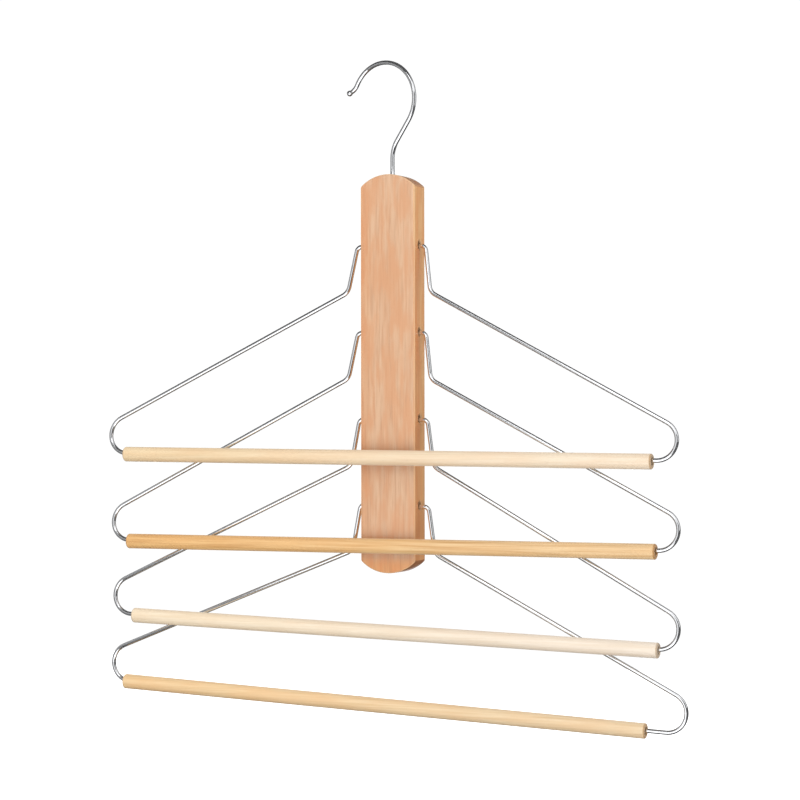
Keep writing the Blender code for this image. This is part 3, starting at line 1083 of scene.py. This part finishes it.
@dataclass
class Bush:
    """The nylon sleeve that the hook's shank turns in."""

    radius: float = 0.0032
    length: float = 0.022
    setback: float = 0.0010
    bore_radius: float = 0.0018
    chamfer: float = 0.0004
    rim_steps: int = 5

    def build(self, finish: Material) -> Object:
        """Turns the bush where the frame has it.

        Args:
            finish: its material.

        Returns:
            The bush's object.
        """
        top = -self.setback
        bottom = top - self.length
        rounding = Vector((top - self.chamfer, self.radius - self.chamfer))
        outline = [
            Vector((bottom, self.bore_radius)),
            Vector((top - self.chamfer, self.bore_radius)),
            Vector((top, self.bore_radius + self.chamfer)),
            *arc(rounding, self.chamfer, 0.0, math.pi / 2, self.rim_steps),
            Vector((bottom, self.radius)),
        ]
        mesh = turned_mesh("swivel_sleeve", outline, BORE_SIDES, closed=True)
        mesh.transform(UPRIGHT)
        mesh.transform(Matrix.Translation(joint("hook_swivel")[0]))
        mesh.materials.append(finish)
        bush = add_object("swivel_sleeve", mesh)
        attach(bush, "spine")
        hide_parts("hook_bush")
        return bush


@dataclass(frozen=True)
class Card:
    """A dark card beside the camera's line of sight, which shows in the wires or shades the wood.

    Its bearing about that line is in degrees, 0 being right and 90 up, and reach is its distance
    from it. It runs from near on the camera's side of the object to far beyond it.
    """

    name: str
    bearing: float
    near: float
    grey: float
    reach: float = 0.75
    far: float = 2.6
    width: float = 0.87
    shades: bool = False


@dataclass
class Studio:
    """The floor, cards, light and camera."""

    cards: tuple[Card, ...]
    azimuth: float = math.radians(22.74)
    camera_place: Place = (0.68678, -1.61192, -0.22530)
    pitch: float = math.radians(0.21)
    roll: float = math.radians(-0.08)
    focal_pixels: float = 2682.86
    frame_pixels: float = 800.0
    sensor: float = 36.0
    middle: Place = (0.0, 0.0, -0.22)
    floor_height: float = -1.10
    floor_size: float = 14.0
    floor_grey: float = 0.95
    floor_glow: float = 0.7
    paper_roughness: float = 0.9
    sky: float = 1.04
    key_spot: Place = (-1.1, -1.6, 1.3)
    key_size: float = 1.3
    key_power: float = 10.0
    front_spot: Place = (0.75, -2.1, 0.0)
    front_size: tuple[float, float] = (1.9, 2.0)
    front_grey: float = 0.02

    def ahead(self) -> Vector:
        """The level direction that the camera looks in."""
        return Vector((-math.sin(self.azimuth), math.cos(self.azimuth), 0.0))

    def spot(self, side: float, ahead: float, up: float) -> Vector:
        """A place given from the object's middle as the camera looks at it.

        Args:
            side: metres to the camera's right.
            ahead: metres beyond the object.
            up: metres above it.

        Returns:
            The place in the frame.
        """
        forward = self.ahead()
        right = Vector((forward.y, -forward.x, 0.0))
        return Vector(self.middle) + right * side + forward * ahead + UP * up

    def camera(self) -> None:
        """Sets up the camera at the photograph's angle."""
        data = bpy.data.cameras.new("camera")
        data.sensor_width = self.sensor
        data.lens = self.focal_pixels / self.frame_pixels * self.sensor
        camera = add_object("camera", data)
        direction = self.ahead() * math.cos(self.pitch) + UP * math.sin(self.pitch)
        turn = direction.to_track_quat("-Z", "Y").to_matrix() @ Matrix.Rotation(self.roll, 3, "Z")
        camera.rotation_mode = "QUATERNION"
        camera.rotation_quaternion = turn.to_quaternion()
        camera.location = self.camera_place
        bpy.context.scene.camera = camera

    def world(self) -> None:
        """Lights the scene evenly from a white surround."""
        world = bpy.data.worlds.new("surround")
        world.use_nodes = True
        background = world.node_tree.nodes["Background"]
        NodeCanvas(world.node_tree).feed(background, {"Color": WHITE, "Strength": self.sky})
        bpy.context.scene.world = world
        bpy.context.scene.view_settings.view_transform = "Standard"

    def key_light(self) -> None:
        """Adds a soft square light that points at the object."""
        data = bpy.data.lights.new("key", "AREA")
        data.size = self.key_size
        data.energy = self.key_power
        light = add_object("key", data)
        light.location = self.spot(*self.key_spot)
        light.rotation_euler = (Vector(self.middle) - light.location).to_track_quat("-Z", "Y").to_euler()

    def sheet(self, name: str, width: float, height: float, grey: float) -> Object:
        """Makes a flat matt sheet that isn't part of the object.

        Args:
            name: the sheet's name.
            width: its width.
            height: its height.
            grey: its brightness.

        Returns:
            The sheet, level and at the origin.
        """
        mesh = bpy.data.meshes.new(name)
        x, y = width / 2, height / 2
        mesh.from_pydata([(-x, -y, 0.0), (x, -y, 0.0), (x, y, 0.0), (-x, y, 0.0)], [], [(0, 1, 2, 3)])
        paper, canvas, shader = new_material(name)
        canvas.feed(shader, {"Base Color": (grey, grey, grey, 1.0), "Roughness": self.paper_roughness})
        mesh.materials.append(paper)
        made = add_object(name, mesh)
        return made

    def side_card(self, card: Card) -> None:
        """Stands a card so that it faces the line of sight.

        Args:
            card: its bearing, place, length and brightness.
        """
        made = self.sheet(card.name, card.near + card.far, card.width, card.grey)
        bearing = math.radians(card.bearing)
        across, up = math.cos(bearing), math.sin(bearing)
        inward = self.spot(-across, 0.0, -up) - self.spot(0.0, 0.0, 0.0)
        turn = Matrix((self.ahead(), inward.cross(self.ahead()), inward)).transposed()
        made.location = self.spot(card.reach * across, (card.far - card.near) / 2, card.reach * up)
        made.rotation_euler = turn.to_euler()
        self.hide(made, card.shades)

    def front_card(self) -> None:
        """Stands a dark card behind the camera, which gives upright wires a dark line down their middle."""
        made = self.sheet("card_front", *self.front_size, self.front_grey)
        made.location = self.spot(*self.front_spot)
        made.rotation_euler = self.ahead().to_track_quat("Z", "Y").to_euler()
        self.hide(made, shades=False)

    def hide(self, made: Object, shades: bool) -> None:
        """Keeps a card out of the picture.

        Args:
            made: the card.
            shades: whether it shades the wood; if not, it only shows in the wires.
        """
        made.visible_camera = False
        made.visible_diffuse = shades
        made.visible_shadow = shades
        made.visible_glossy = not shades

    def floor(self) -> None:
        """Lays a plain pale floor that glows like a lit table."""
        floor = self.sheet("floor", self.floor_size, self.floor_size, self.floor_grey)
        floor.location = (0.0, 0.0, self.floor_height)
        shader = floor.data.materials[0].node_tree.nodes["Principled BSDF"]
        shader.inputs["Emission Color"].default_value = WHITE
        shader.inputs["Emission Strength"].default_value = self.floor_glow

    def build(self) -> None:
        """Sets up the whole studio."""
        self.world()
        self.floor()
        self.key_light()
        for card in self.cards:
            self.side_card(card)
        self.front_card()
        self.camera()


CARDS = (
    Card("card_right_top", bearing=30.0, near=0.35, grey=0.35),
    Card("card_top", bearing=90.0, near=0.50, grey=0.06),
    Card("card_left_top", bearing=135.0, near=0.95, grey=0.07, width=0.55),
    Card("card_left", bearing=165.0, near=0.90, grey=0.36, width=0.55),
    Card("card_left_low", bearing=210.0, near=0.56, grey=0.22),
    Card("card_low", bearing=270.0, near=0.50, grey=0.12),
    Card("card_right_low", bearing=330.0, near=1.60, grey=0.08),
    Card("card_below", bearing=270.0, near=0.40, grey=0.20, reach=0.55, far=1.3, width=2.0, shades=True),
)
SPINE_TONE = WoodTone(
    "spine_beech",
    pale=(0.617, 0.387, 0.236),
    deep=(0.44, 0.215, 0.105),
    flush=(0.58, 0.277, 0.130),
    ring_spacing=0.009,
    streak_strength=0.6,
    streak_reach=0.05,
    flush_scale=210.0,
    flush_strength=0.75,
    lacquer=0.25,
)
BAR_TONES = (
    DowelTone(
        "bar_beech_1",
        pale=(0.75, 0.58, 0.36),
        deep=(0.62, 0.42, 0.215),
        flush=(0.72, 0.49, 0.275),
        right_end_tint=(1.04, 1.15, 1.45),
    ),
    DowelTone(
        "bar_beech_2",
        pale=(0.76, 0.465, 0.188),
        deep=(0.53, 0.25, 0.068),
        flush=(0.72, 0.39, 0.136),
        streak_strength=0.8,
        pith=(-0.04, 0.03, 0.31),
        right_end_tint=(1.0, 1.17, 1.6),
    ),
    DowelTone(
        "bar_beech_3",
        pale=(0.83, 0.70, 0.52),
        deep=(0.69, 0.53, 0.34),
        flush=(0.78, 0.61, 0.42),
        pith=(0.02, -0.06, 0.62),
        right_end_tint=(0.96, 1.0, 1.13),
    ),
    DowelTone(
        "bar_beech_4",
        pale=(0.81, 0.575, 0.315),
        deep=(0.62, 0.38, 0.16),
        flush=(0.78, 0.47, 0.22),
        pith=(0.05, 0.01, 0.93),
        right_end_tint=(0.95, 1.05, 1.25),
    ),
)
ARMS = (
    ArmWire(1, slide=-0.000819, left_spread=0.10, right_spread=0.54),
    ArmWire(2, slide=-0.000619, left_spread=-0.82, right_spread=0.96),
    ArmWire(3, slide=0.000382, left_spread=2.11, right_spread=-1.31),
    ArmWire(4, slide=0.001074, left_spread=4.67, right_spread=1.10),
)


def main() -> None:
    """Builds every piece in order, then the studio."""
    logging.basicConfig(level=logging.INFO, format="%(name)s: %(message)s")
    chrome = ChromeFinish().build()
    nylon = NylonFinish().build()
    made = [Hook().build(chrome), Spine(SPINE_TONE).build(), Bush().build(nylon)]
    made += [arm.build(chrome) for arm in ARMS]
    made += [Bar(number, tone).build() for number, tone in enumerate(BAR_TONES, 1)]
    for piece in made:
        log.info("%s has %d faces", piece.name, len(piece.data.polygons))
    Studio(CARDS).build()


if __name__ == "__main__":
    main()
